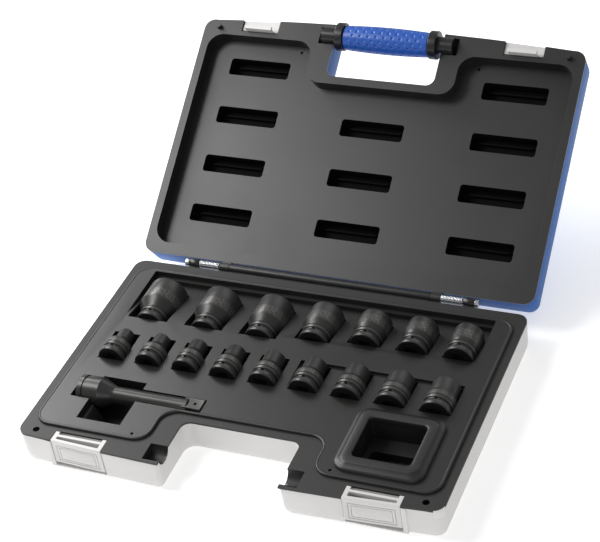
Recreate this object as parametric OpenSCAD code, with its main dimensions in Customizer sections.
// Impact socket set, half-inch drive, in a hinged carry case.
// X runs along the hinge, -Y is the latch side and +Z is up. The origin is the centre of the underside.
// The lid is drawn open, as it stands at rest. Lid parts are shaped closed and then swung open.

/* [Case] */
// Width of the case along the hinge
case_w = 410; // [400:2:500]
// Depth of the case from the hinge side to the latch side, at its ends
case_d = 262; // [260:2:330]
// How far the latch side bows outward at its middle
front_bow = 6.5; // [4:0.5:9]
// Height of the base from its underside to the parting plane
base_h = 34; // [34:1:45]
// Height of the lid from the parting plane to its outside
lid_h = 34; // [33:1:45]
// Corner radius of the case in plan
corner_r = 11; // [9:1:16]
// Wall of the two outer shells
shell_wall = 2.4; // [2:0.2:2.8]
// Wall of the two moulded liners
liner_wall = 1.6; // [1.2:0.2:2]
// How far the lid stands open, from closed
lid_open = 147; // [110:1:150]

/* [Tray] */
// Width of the flat rim at the ends of the tray
rim_side = 9; // [8:1:14]
// Width of the flat rim along the hinge side
rim_back = 12.5; // [11:0.5:18]
// Width of the flat rim along the latch side, at the corners
rim_front = 16.5; // [16:0.5:22]
// How far the tray stands above the rim
tray_rise = 2.2; // [1.5:0.1:3]
// Depth of the recess in the lid that takes the tray and the tops of the sockets
lid_recess = 15.2; // [15:0.2:18]
// Height of the socket tops above the parting plane
socket_top = 14.6; // [13:0.1:14.8]

/* [Sockets] */
// Outer diameter of the largest socket at its nut end
largest_d = 41; // [38:0.5:43]
// Square of the drive
drive_sq = 12.7; // [12.6:0.1:12.8]
// Length of the short sockets
short_len = 38; // [34:1:46]
// Length of the long sockets
long_len = 50; // [44:1:60]
// Spacing of sockets in a row, as a multiple of their mean diameter
row_pitch = 1.485; // [1.4:0.005:1.5]
// Clearance around a socket in its pocket
pocket_gap = 0.5; // [0.3:0.1:1]

/* [Extension bar] */
// Overall length of the extension bar
bar_len = 125; // [100:1:150]
// Diameter of the bar's shaft
bar_d = 16; // [14:0.5:18]
// Diameter of the bar's collar
bar_collar_d = 28.5; // [24:0.5:30]

/* [Handle] */
// Half width of the handle opening
notch_half = 58; // [56:1:72]
// Depth of the handle opening from the latch side of the ends
notch_depth = 51.5; // [48:0.5:56]
// Corner radius of the handle opening
notch_r = 9; // [6:1:14]
// Largest diameter of the grip
grip_d = 28; // [24:0.5:30]
// Diameter of the bar's ends, where they lie in their saddles
stub_d = 18; // [16:0.5:20]

/* [Latches] */
// Distance of each latch from the middle of the case
latch_x = 142; // [138:1:145]
// Width of a latch
latch_w = 52; // [44:1:54]
// How far a latch reaches in over the rim
latch_reach = 13.5; // [13:0.5:15]

/* [Hinge] */
// Distance of the hinge axis behind the case
hinge_out = 6; // [5.6:0.1:7]
// Diameter of the hinge barrel and knuckles
barrel_d = 9; // [8:0.2:9.4]
// Half length of the middle barrel
barrel_half = 105.5; // [90:0.5:120]
// Diameter of the hinge pins
pin_d = 5; // [4:0.2:5.4]
// Length of each hinge spring
spring_len = 22.5; // [16:0.5:28]

/* [Hidden] */
$fn = 64;

// Case
back_y = case_d / 2;
front_y = -case_d / 2;
bow_land = 3;
bow_half = case_w / 2 - corner_r - bow_land;
bow_r = (bow_half * bow_half + front_bow * front_bow) / (2 * front_bow);
rim_t = 2;
fit = 0.1;
tier_h = [2.5, 3];
tier_in = [4, 1.6];
deep = 200;

// Tray and the lid's recess over it
tray_r = 16;
tray_x = case_w / 2 - rim_side;
tray_back = back_y - rim_back;
tray_front = front_y + rim_front;
tray_notch_side = 22;
tray_notch_back = 9;
tray_fit = 0.6;
tray_z = base_h + tray_rise;

// Sockets: nominal size, nut-end diameter, drive-end diameter, length, length of the drive end
k = largest_d / 41;
mid_len = (short_len + long_len) / 2;
fore = 19;
aft = 14;
front_row = [[10, 16, 26, short_len, fore], [11, 17.2, 26, short_len, fore], [12, 18.4, 26, short_len, fore],
    [13, 20, 26.5, short_len, fore], [14, 21.5, 27, short_len, fore], [15, 23, 28, short_len, fore],
    [16, 24.7, 28, short_len, fore], [17, 26.2, 29, short_len, fore], [18, 27.4, 29, short_len, fore]];
back_row = [[27, 41 * k, 29, long_len, aft], [24, 39 * k, 29, long_len, aft],
    [23, 37.5 * k, 29, long_len, aft], [22, 34.5 * k, 29, mid_len, aft], [21, 32.5 * k, 29, short_len, aft],
    [20, 31 * k, 29, short_len, aft], [19, 29.5 * k, 28.5, short_len, aft]];
row_gap = 24.5;
back_nut_y = back_y - 37.5;
front_drive_y = back_nut_y - long_len - row_gap - short_len;
bed_side = 4;
bed_wall_y = tray_back - 4;
bed_drop = 11;
ledge_drop = 6;
ledge_w = 4;
front_bed_drop = 3;
front_bed_from = 5;
bed_x = row_w(back_row, 1) / 2 + bed_side;
bed_y0 = back_nut_y - long_len + 4;
front_bed_x0 = front_at(front_bed_from)[0] - front_row[front_bed_from][2] / 2 - 2;
front_bed_x1 = row_w(front_row, 2) / 2 + pocket_gap + 1;

// Bar and its finger well
bar_x = -case_w / 2 + 32.5;
bar_y = front_drive_y - 41;
bar_z = base_h - 2.5;
collar_len = 24;
taper_len = 12;
square_len = 15;
bar_gap = 0.5;
bar_end_gap = [4.5, 1.2];
collar_groove = [5, 8];
well_x = [bar_x + 15.5, bar_x + 60.5];
well_y = [bar_y - 41, bar_y + 17];
well_floor = 8;

// Storage well
store_x = [tray_x - 99.5, tray_x - 18.5];
store_y = [tray_front + 8.5, front_drive_y - 10];
store_step = 3;
store_rise = 8;
store_rim = 13;
store_ledge = 17;
store_r = 9;
store_lip = 5;
store_in = [5, 3];

// Handle
handle_y = front_y - front_bow + grip_d / 2 - 0.2;
grip_half = 45.7;
collar_w = 8.5;
collar_d = grip_d + 1;
stub_end = notch_half + 12.5;
saddle_end = stub_end + 4;
core_d = 12;
slip = 0.05;
saddle_gap = 0.2;
trough_gap = 1;
notch_back = front_y + notch_depth;

// Latches
latch_t = 3.2;
latch_pin_d = 3;
latch_pin_z = 9;
latch_pin_in = 5;
latch_toe = 1.5;
latch_gap = 0.5;
latch_frame_t = 3.4;
latch_post = 4;
latch_bar = [7.4, 10.2];
boss_w = 5;
front_at_latch = front_y - front_bow * (1 - pow(latch_x / bow_half, 2));
pin_y = front_at_latch + latch_pin_in;
catch_w = latch_w - 2 * latch_post - 3;
catch_rise = 2;
catch_t = 5;
catch_back = 1.5;
lug_w = 30;
lug_t = 2.2;
lug_gap = 0.4;
lug_drop = 3;
nose = 1.8;
nose_gap = 0.3;
foot_h = 7;
foot_t = 2;

// Hinge
hinge_y = back_y + hinge_out;
hinge_z = base_h;
knuckle_len = 10;
outer_len = 11;
head_len = 4;
k_gap = 0.3;
x1 = barrel_half + k_gap;
x2 = x1 + knuckle_len;
x3 = x2 + k_gap + spring_len;
x4 = x3 + k_gap;
x5 = x4 + outer_len;
pin_in = 16;
stop_gap = 0.3;
stop_drop = 1;
stop_h = 4;
web_h = 9;

// Lid slots
slot = [67, 18.5];
slot_pitch = [138, 54.8];
slot_first_y = tray_front + 28.5;
slot_gap = 0.8;
slot_z = base_h + lid_h - shell_wall - liner_wall - slot_gap;

// Pegs and vents
peg_x = case_w / 2 - 17;
peg_y = front_y + 8.5;
peg_h = 5;
peg_d = 5.2;
peg_gap = 0.6;
vent_x = 96;
vent_in = 6;
vent_d = 3;

// ---- plan shapes ----

module rounded(x0, y0, x1, y1, r) {
    translate([x0 + r, y0])
        square([x1 - x0 - 2 * r, y1 - y0]);
    translate([x0, y0 + r])
        square([x1 - x0, y1 - y0 - 2 * r]);
    for (x = [x0 + r, x1 - r], y = [y0 + r, y1 - r])
        translate([x, y])
            circle(r);
}

// Plan of the case, inset by i, without the handle opening
module plan(i = 0) {
    rounded(-case_w / 2 + i, front_y + i, case_w / 2 - i, back_y - i, corner_r - i);
    intersection() {
        translate([0, front_y - front_bow + bow_r])
            circle(bow_r - i, $fn = 720);
        translate([-bow_half - bow_land / 2, front_y - front_bow - 1])
            square([2 * bow_half + bow_land, case_d / 2]);
    }
}

// Plan of the handle opening, grown by g
module notch(g = 0) {
    rounded(-notch_half - g, front_y - deep, notch_half + g, notch_back + g, notch_r + g);
}

// Plan of the raised tray, inset by i
module tray(i = 0) {
    difference() {
        rounded(-tray_x + i, tray_front + i, tray_x - i, tray_back - i, tray_r - i);
        rounded(-notch_half - tray_notch_side - i, front_y - deep, notch_half + tray_notch_side + i,
            notch_back + tray_notch_back + i, tray_r);
        for (side = [0, 1])
            mirror([side, 0])
                tray_shoulder(notch_half + tray_notch_side + i, tray_front + i, tray_r - i);
    }
}

// What rounds off the tray's front corner beside the handle opening
module tray_shoulder(x, y, r) {
    difference() {
        translate([x - 1, y - 1])
            square([r + 1, r + 1]);
        translate([x + r, y + r])
            circle(r);
    }
}

module slab(z0, z1) {
    translate([0, 0, z0])
        linear_extrude(z1 - z0, convexity = 10)
            children();
}

module block(x, y, z) {
    translate([x[0], y[0], z[0]])
        cube([x[1] - x[0], y[1] - y[0], z[1] - z[0]]);
}

module along_x(x0, x1, y, z, d) {
    translate([x0, y, z])
        rotate([0, 90, 0])
            cylinder(d = d, h = x1 - x0);
}

// Swings lid parts from closed to open about the hinge
module opened() {
    translate([0, hinge_y, hinge_z])
        rotate([-lid_open, 0, 0])
            translate([0, -hinge_y, -hinge_z])
                children();
}

// Turns a base shape over to make the matching lid shape of height h
module turned(h) {
    translate([0, 0, base_h + h])
        mirror([0, 0, 1])
            children();
}

// ---- shells ----

// A tub with its outside at z = 0, stepped in at its foot
module tub(h) {
    difference() {
        union() {
            slab(0, tier_h[0])
                plan(tier_in[0]);
            slab(tier_h[0], tier_h[0] + tier_h[1])
                plan(tier_in[1]);
            slab(tier_h[0] + tier_h[1], h - rim_t)
                plan();
        }
        slab(shell_wall, h)
            difference() {
                plan(tier_in[0] + shell_wall);
                notch(shell_wall);
            }
        slab(tier_h[0] + tier_h[1], h)
            difference() {
                plan(shell_wall);
                notch(shell_wall);
            }
        slab(-1, h)
            notch();
    }
}

// Room for a latch in the front of the base
module latch_room(side, g) {
    block([side * latch_x - latch_w / 2 - g, side * latch_x + latch_w / 2 + g],
        [front_y - front_bow - 1, front_at_latch + latch_reach + g],
        [latch_pin_z - latch_pin_in - g, base_h + deep]);
}

module base_shell() {
    color("whitesmoke") {
        difference() {
            union() {
                tub(base_h);
                for (side = [-1, 1])
                    latch_housing(side);
            }
            for (side = [-1, 1]) {
                latch_room(side, latch_gap);
                along_x(side * latch_x - latch_w / 2 - boss_w + 1, side * latch_x + latch_w / 2 + boss_w - 1,
                    pin_y, latch_pin_z, latch_pin_d + 2 * slip);
            }
            along_x(-saddle_end, saddle_end, handle_y, base_h, stub_d + 2 * trough_gap);
        }
        for (side = [-1, 1])
            hinge_stop(side);
        hinge_web([-barrel_half, barrel_half]);
        for (side = [-1, 1]) {
            hinge_web(side > 0 ? [x4, x5] : [-x5, -x4]);
            knuckle(side > 0 ? [x4, x5] : [-x5, -x4]);
        }
    }
}

// Walls round a latch's room, inside the front of the base
module latch_housing(side) {
    intersection() {
        block([side * latch_x - latch_w / 2 - boss_w, side * latch_x + latch_w / 2 + boss_w],
            [front_y - front_bow, front_at_latch + latch_reach + latch_gap + shell_wall],
            [shell_wall - fit, base_h - rim_t]);
        slab(tier_h[0], base_h)
            plan(tier_in[1]);
    }
}

// Web that carries a stretch of the hinge barrel on the back wall of the base
module hinge_web(x) {
    difference() {
        block(x, [back_y - fit, hinge_y], [hinge_z - web_h, hinge_z - rim_t]);
        along_x(x[0] - 1, x[1] + 1, hinge_y, hinge_z, barrel_d);
    }
}

// One bored knuckle of a hinge
module knuckle(x) {
    difference() {
        along_x(x[0], x[1], hinge_y, hinge_z, barrel_d);
        along_x(x[0] - 1, x[1] + 1, hinge_y, hinge_z, pin_d + 2 * slip);
    }
}

// Ledge under a lid knuckle, which the back wall of the open lid comes to rest on
module hinge_stop(side) {
    top_z = -barrel_d / 2 - stop_drop;
    low_z = top_z - stop_h;
    translate([side > 0 ? x1 : -x2, hinge_y, hinge_z])
        rotate([90, 0, 90])
            linear_extrude(knuckle_len)
                polygon([[-hinge_out - fit, top_z], [stop_y(top_z), top_z], [stop_y(low_z), low_z],
                    [-hinge_out - fit, low_z]]);
}

// Distance behind the hinge axis of the open lid's back wall, at height z from the axis
function stop_y(z) = let (o = hinge_out - stop_gap)
    sin(lid_open) * (z - o * sin(lid_open)) / cos(lid_open) - o * cos(lid_open);

module lid_shell() {
    color("royalblue")
        opened()
            difference() {
                turned(lid_h)
                    tub(lid_h);
                along_x(-saddle_end, saddle_end, handle_y, base_h, stub_d + 2 * saddle_gap);
                for (side = [-1, 1])
                    catch_room(side);
            }
}

// Room for a catch in the front edge of the lid
module catch_room(side) {
    block([side * latch_x - catch_w / 2, side * latch_x + catch_w / 2],
        [front_y - front_bow - 1, front_at_latch + latch_reach],
        [base_h - 1, base_h + catch_rise + catch_t]);
}

// ---- liners ----

// Solid of revolution along +Y from its profile of [radius, distance] points
module turned_y(profile) {
    rotate([-90, 0, 0])
        rotate_extrude()
            polygon(profile);
}

// Room for a socket lying drive end forward, grown by g
module socket_room(s, x, y, z, g) {
    wide = max(s[1], s[2]) / 2 + pocket_gap + g;
    translate([x, y - pocket_gap - g, z]) {
        rotate([-90, 0, 0])
            cylinder(r = s[2] / 2 + pocket_gap + g, h = s[3] + 2 * (pocket_gap + g));
        translate([0, s[4], 0])
            rotate([-90, 0, 0])
                cylinder(r = wide, h = s[3] - s[4] + 2 * (pocket_gap + g));
        translate([-wide, 0, -2])
            cube([2 * wide, s[3] + 2 * (pocket_gap + g), deep]);
    }
}

// Distance from the middle of the first socket of a row to the middle of socket i
function along(row, d, i) = i == 0 ? 0
    : along(row, d, i - 1) + row_pitch * (row[i - 1][d] + row[i][d]) / 2;
function row_w(row, d) = row[0][d] / 2 + along(row, d, len(row) - 1) + row[len(row) - 1][d] / 2;
function row_x(row, d, i) = -row_w(row, d) / 2 + row[0][d] / 2 + along(row, d, i);
function socket_z(s) = base_h + socket_top - max(s[1], s[2]) / 2;

function front_at(i) = [row_x(front_row, 2, i), front_drive_y, socket_z(front_row[i])];
function back_at(i) = [row_x(back_row, 1, i), back_nut_y - back_row[i][3], socket_z(back_row[i])];

// Every socket's room, grown by g
module socket_rooms(g) {
    for (i = [0 : len(front_row) - 1])
        socket_room(front_row[i], front_at(i)[0], front_at(i)[1], front_at(i)[2], g);
    for (i = [0 : len(back_row) - 1])
        socket_room(back_row[i], back_at(i)[0], back_at(i)[1], back_at(i)[2], g);
}

// Room for the bar, and the well that lets fingers in round it, grown by g
module bar_room(g) {
    block([bar_x - bar_end_gap[0] - g, bar_x + collar_len + taper_len + g],
        [bar_y - bar_collar_d / 2 - bar_gap - g, bar_y + bar_collar_d / 2 + bar_gap + g],
        [bar_z - bar_collar_d / 2 - bar_gap - g, base_h + deep]);
    block([bar_x - g, bar_x + bar_len + bar_end_gap[1] + g],
        [bar_y - bar_d / 2 - bar_gap - g, bar_y + bar_d / 2 + bar_gap + g],
        [bar_z - bar_d / 2 - bar_gap - g, base_h + deep]);
    block([well_x[0] - g, well_x[1] + g], [well_y[0] - g, well_y[1] + g], [well_floor - g, base_h + deep]);
}

// The storage well with its ledge, grown by g
module store_room(g) {
    mid_y = store_y[1] - store_rim - store_ledge;
    slab(base_h - store_ledge - g, base_h + deep)
        rounded(store_x[0] + store_rim - g, store_y[0] + store_rim - g, store_x[1] - store_rim + g,
            store_y[1] - store_rim + g, store_r / 2 + g);
    slab(well_floor - g, base_h + deep)
        rounded(store_x[0] + store_rim + store_in[0] - g, store_y[0] + store_rim + store_in[1] - g,
            store_x[1] - store_rim - store_in[0] + g, mid_y + g, store_r / 2 + g);
}

// Half-round troughs for the ends of the handle, grown by g
module troughs(gap, g) {
    for (side = [-1, 1])
        along_x(side > 0 ? notch_half - 1 - g : -saddle_end - g,
            side > 0 ? saddle_end + g : -notch_half + 1 + g, handle_y, base_h, stub_d + 2 * gap + 2 * g);
}

// Sunk bed behind a row: a wedge from the surface at y0 down by drop at y1
module bed(x, y0, y1, drop) {
    translate([x[0], 0, 0])
        rotate([90, 0, 90])
            linear_extrude(x[1] - x[0])
                polygon([[y0, tray_z + 1], [y0, tray_z], [y1, tray_z - drop], [y1, tray_z + 1]]);
}

module base_liner() {
    difference() {
        color("dimgray")
            union() {
                slab(base_h - rim_t, base_h)
                    difference() {
                        plan();
                        notch();
                    }
                slab(tray_z - front_bed_drop - liner_wall, tray_z)
                    tray();
                block([-bed_x - liner_wall, bed_x + liner_wall],
                    [bed_y0 - liner_wall, bed_wall_y + liner_wall],
                    [tray_z - bed_drop - liner_wall, tray_z]);
                intersection() {
                    troughs(trough_gap, liner_wall);
                    slab(0, base_h)
                        difference() {
                            plan(shell_wall + fit);
                            notch(shell_wall + fit);
                        }
                }
                intersection() {
                    union() {
                        socket_rooms(liner_wall);
                        bar_room(liner_wall);
                        store_room(liner_wall);
                    }
                    slab(shell_wall + fit, base_h)
                        tray();
                }
                slab(base_h, base_h + store_step + tray_rise)
                    rounded(store_x[0], store_y[0], store_x[1], store_y[1], store_r);
                slab(base_h, base_h + store_rise)
                    rounded(store_x[0] + store_lip, store_y[0] + store_lip, store_x[1] - store_lip,
                        store_y[1] - store_lip, store_r - 2);
            }
        bed([-bed_x, bed_x], bed_y0, bed_wall_y - ledge_w, bed_drop);
        block([-bed_x, bed_x], [bed_wall_y - ledge_w - fit, bed_wall_y],
            [tray_z - ledge_drop, base_h + deep]);
        bed([front_bed_x0, front_bed_x1], front_drive_y, front_drive_y + short_len + 2, front_bed_drop);
        socket_rooms(0);
        bar_room(0);
        store_room(0);
        along_x(-saddle_end, saddle_end, handle_y, base_h, stub_d + 2 * trough_gap);
        for (side = [-1, 1]) {
            latch_room(side, latch_gap);
            translate([side * peg_x, peg_y, base_h - 2 * rim_t])
                cylinder(d = peg_d + 2 * peg_gap, h = deep);
            translate([side * vent_x, tray_front + vent_in, 0])
                cylinder(d = vent_d, h = base_h + deep);
        }
    }
}

module slots(g) {
    for (c = [-1, 0, 1], r = [0 : 3])
        if (c != 0 || r > 0)
            translate([c * slot_pitch[0], slot_first_y + r * slot_pitch[1]])
                rounded(-slot[0] / 2 - g, -slot[1] / 2 - g, slot[0] / 2 + g, slot[1] / 2 + g, 3 + g);
}

module lid_liner() {
    recess_z = base_h + lid_recess;
    color("dimgray")
        opened() {
            difference() {
                union() {
                    slab(base_h, base_h + rim_t)
                        difference() {
                            plan();
                            notch();
                        }
                    slab(base_h, recess_z + liner_wall)
                        tray(-tray_fit - liner_wall);
                    slab(recess_z, slot_z + liner_wall)
                        slots(liner_wall);
                    intersection() {
                        troughs(saddle_gap, liner_wall);
                        slab(base_h, base_h + lid_h)
                            difference() {
                                plan(shell_wall + fit);
                                notch(shell_wall + fit);
                            }
                    }
                    for (side = [-1, 1])
                        translate([side * peg_x, peg_y, base_h - peg_h])
                            cylinder(d = peg_d, h = peg_h + rim_t);
                }
                slab(base_h - 1, recess_z)
                    tray(-tray_fit);
                slab(base_h, slot_z)
                    slots(0);
                along_x(-saddle_end, saddle_end, handle_y, base_h, stub_d + 2 * saddle_gap);
                for (side = [-1, 1]) {
                    catch_room(side);
                    translate([side * vent_x, tray_front + vent_in, 0])
                        cylinder(d = vent_d, h = deep);
                }
            }
            for (side = [-1, 1])
                lid_knuckle(side > 0 ? [x1, x2] : [-x2, -x1]);
        }
}

// Knuckle and arm that join the lid to its hinge pin
module lid_knuckle(x) {
    difference() {
        union() {
            along_x(x[0], x[1], hinge_y, hinge_z, barrel_d);
            block(x, [back_y - fit, hinge_y], [base_h + k_gap, base_h + rim_t]);
            block(x, [back_y, hinge_y], [base_h + k_gap, base_h + 2 * rim_t]);
        }
        along_x(x[0] - 1, x[1] + 1, hinge_y, hinge_z, pin_d + 2 * slip);
    }
}

// ---- handle ----

module handle_core() {
    color("black")
        opened() {
            along_x(-stub_end, -grip_half - collar_w, handle_y, base_h, stub_d);
            along_x(-grip_half - collar_w, grip_half + collar_w, handle_y, base_h, core_d);
            along_x(grip_half + collar_w, stub_end, handle_y, base_h, stub_d);
        }
}

module handle_grip() {
    belly_r = 700;
    color("mediumblue")
        opened()
            translate([-grip_half, handle_y, base_h])
                rotate([0, 90, 0])
                    difference() {
                        rotate_extrude()
                            intersection() {
                                square([grip_d, 2 * grip_half]);
                                translate([grip_d / 2 - belly_r, grip_half])
                                    circle(belly_r, $fn = 1440);
                            }
                        translate([0, 0, -1])
                            cylinder(d = core_d + 2 * slip, h = 2 * grip_half + 2);
                    }
}

module handle_collar(side) {
    x0 = side > 0 ? grip_half : -grip_half - collar_w;
    color("black")
        opened()
            difference() {
                along_x(x0, x0 + collar_w, handle_y, base_h, collar_d);
                along_x(x0 - 1, x0 + collar_w + 1, handle_y, base_h, core_d + 2 * slip);
            }
}

// ---- latches ----

module latch(side) {
    cx = side * latch_x;
    in_y = front_at_latch + latch_reach;
    color("gainsboro")
        difference() {
            union() {
                intersection() {
                    slab(latch_pin_z - latch_toe, base_h)
                        difference() {
                            plan(fit);
                            plan(latch_t);
                        }
                    block([cx - latch_w / 2, cx + latch_w / 2], [front_y - front_bow, front_y + latch_t],
                        [0, base_h]);
                }
                for (x = [cx - latch_w / 2, cx + latch_w / 2 - latch_post])
                    block([x, x + latch_post], [front_at_latch + 2, in_y], [base_h - latch_frame_t, base_h]);
                block([cx - latch_w / 2, cx + latch_w / 2], front_at_latch * [1, 1] + latch_bar,
                    [base_h - latch_frame_t, base_h]);
                along_x(cx - latch_w / 2, cx + latch_w / 2, pin_y, latch_pin_z, latch_pin_d + 4);
            }
            along_x(cx - latch_w / 2 - 1, cx + latch_w / 2 + 1, pin_y, latch_pin_z, latch_pin_d + 2 * slip);
        }
}

module latch_pin(side) {
    half = latch_w / 2 + boss_w - 1 - fit;
    color("silver")
        along_x(side * latch_x - half, side * latch_x + half, pin_y, latch_pin_z, latch_pin_d);
}

module catch_block(side) {
    cx = side * latch_x;
    half = catch_w / 2 - fit;
    lug_y = front_at_latch + latch_bar[1] + lug_gap;
    top_z = base_h + catch_rise + catch_t;
    color("gainsboro")
        opened() {
            intersection() {
                slab(base_h + catch_rise, top_z)
                    plan(fit);
                block([cx - half, cx + half],
                    [front_y - front_bow, front_at_latch + latch_reach - catch_back], [base_h, top_z]);
            }
            block([cx - lug_w / 2, cx + lug_w / 2], [lug_y, lug_y + lug_t],
                [base_h - latch_frame_t - lug_drop, base_h + catch_rise + 1]);
            block([cx - lug_w / 2, cx + lug_w / 2], [lug_y - nose, lug_y + 1],
                [base_h - latch_frame_t - lug_drop, base_h - latch_frame_t - nose_gap]);
            intersection() {
                slab(top_z - 1, top_z + foot_h)
                    difference() {
                        plan(shell_wall + fit);
                        plan(shell_wall + fit + foot_t);
                    }
                block([cx - half, cx + half], [front_y - front_bow, front_y + catch_t], [0, deep]);
            }
        }
}

// ---- hinge ----

module hinge_barrel() {
    color("black")
        difference() {
            along_x(-barrel_half, barrel_half, hinge_y, hinge_z, barrel_d);
            for (side = [-1, 1])
                along_x(side > 0 ? barrel_half - pin_in : -barrel_half - 1,
                    side > 0 ? barrel_half + 1 : -barrel_half + pin_in, hinge_y, hinge_z, pin_d + 2 * slip);
        }
}

module hinge_pin(side) {
    color("silver")
        mirror([side > 0 ? 0 : 1, 0, 0]) {
            along_x(barrel_half - pin_in + fit, x5, hinge_y, hinge_z, pin_d);
            along_x(x5, x5 + head_len, hinge_y, hinge_z, barrel_d - 0.6);
        }
}

module hinge_spring(side) {
    color("silver")
        mirror([side > 0 ? 0 : 1, 0, 0])
            difference() {
                along_x(x2 + k_gap, x3, hinge_y, hinge_z, barrel_d - 0.4);
                along_x(x2, x3 + 1, hinge_y, hinge_z, pin_d + 1);
            }
}

// ---- tools ----

// An impact socket along +Y with its drive end at the origin
module socket(s) {
    nut = s[1] / 2;
    drive = s[2] / 2;
    len = s[3];
    shoulder = s[4];
    groove = [6, 9.6];
    cone = abs(nut - drive) + 2;
    bore = min(11.5, s[0] - 1);
    color([0.2, 0.2, 0.21])
        difference() {
            turned_y([[0, 0], [drive - 1, 0], [drive, 1], [drive, groove[0]], [drive - 1, groove[0] + 0.5],
                [drive - 1, groove[1] - 0.5], [drive, groove[1]], [drive, shoulder],
                [nut, shoulder + cone], [nut, len - 1], [nut - 1, len], [0, len]]);
            translate([-drive_sq / 2 - slip, -1, -drive_sq / 2 - slip])
                cube([drive_sq + 2 * slip, square_len + 1, drive_sq + 2 * slip]);
            rotate([-90, 0, 0])
                cylinder(d = bore, h = len);
            translate([0, len - min(len / 2, 8 + s[0] / 2), 0])
                rotate([-90, 0, 0])
                    cylinder(d = (s[0] + 0.2) / cos(30), h = len, $fn = 6);
            translate([0, (groove[0] + groove[1]) / 2, 0])
                cylinder(d = 3.2, h = drive + 1);
        }
}

module front_socket(i) {
    translate(front_at(i))
        socket(front_row[i]);
}

module back_socket(i) {
    translate(back_at(i))
        socket(back_row[i]);
}

module extension_bar() {
    collar = bar_collar_d / 2;
    shaft = bar_d / 2;
    end = bar_len - square_len;
    ball = [7, 3];
    color([0.25, 0.25, 0.26])
        translate([bar_x, bar_y, bar_z])
            difference() {
                union() {
                    rotate([0, 90, 0])
                        rotate_extrude()
                            polygon([[0, 0], [collar - 1, 0], [collar, 1], [collar, collar_groove[0]],
                                [collar - 1, collar_groove[0] + 0.5], [collar - 1, collar_groove[1] - 0.5],
                                [collar, collar_groove[1]], [collar, collar_len - 2],
                                [collar - 1.2, collar_len], [shaft + 3, collar_len + 5],
                                [shaft, collar_len + taper_len], [shaft, end], [shaft - 0.8, end + 0.8],
                                [0, end + 0.8]]);
                    block([end - 4, bar_len], drive_sq / 2 * [-1, 1], drive_sq / 2 * [-1, 1]);
                }
                block([-1, square_len], (drive_sq / 2 + slip) * [-1, 1], (drive_sq / 2 + slip) * [-1, 1]);
                translate([bar_len - ball[0], 0, 0])
                    cylinder(d = ball[1], h = drive_sq);
            }
}

base_shell();
base_liner();
lid_shell();
lid_liner();
handle_core();
handle_grip();
handle_collar(-1);  // handle_collar_left
handle_collar(1);  // handle_collar_right
latch(-1);  // latch_left
latch(1);  // latch_right
latch_pin(-1);  // latch_pin_left
latch_pin(1);  // latch_pin_right
catch_block(-1);  // catch_left
catch_block(1);  // catch_right
hinge_barrel();
hinge_pin(-1);  // hinge_pin_left
hinge_pin(1);  // hinge_pin_right
hinge_spring(-1);  // hinge_spring_left
hinge_spring(1);  // hinge_spring_right
extension_bar();
front_socket(0);  // socket_10
front_socket(1);  // socket_11
front_socket(2);  // socket_12
front_socket(3);  // socket_13
front_socket(4);  // socket_14
front_socket(5);  // socket_15
front_socket(6);  // socket_16
front_socket(7);  // socket_17
front_socket(8);  // socket_18
back_socket(0);  // socket_27
back_socket(1);  // socket_24
back_socket(2);  // socket_23
back_socket(3);  // socket_22
back_socket(4);  // socket_21
back_socket(5);  // socket_20
back_socket(6);  // socket_19
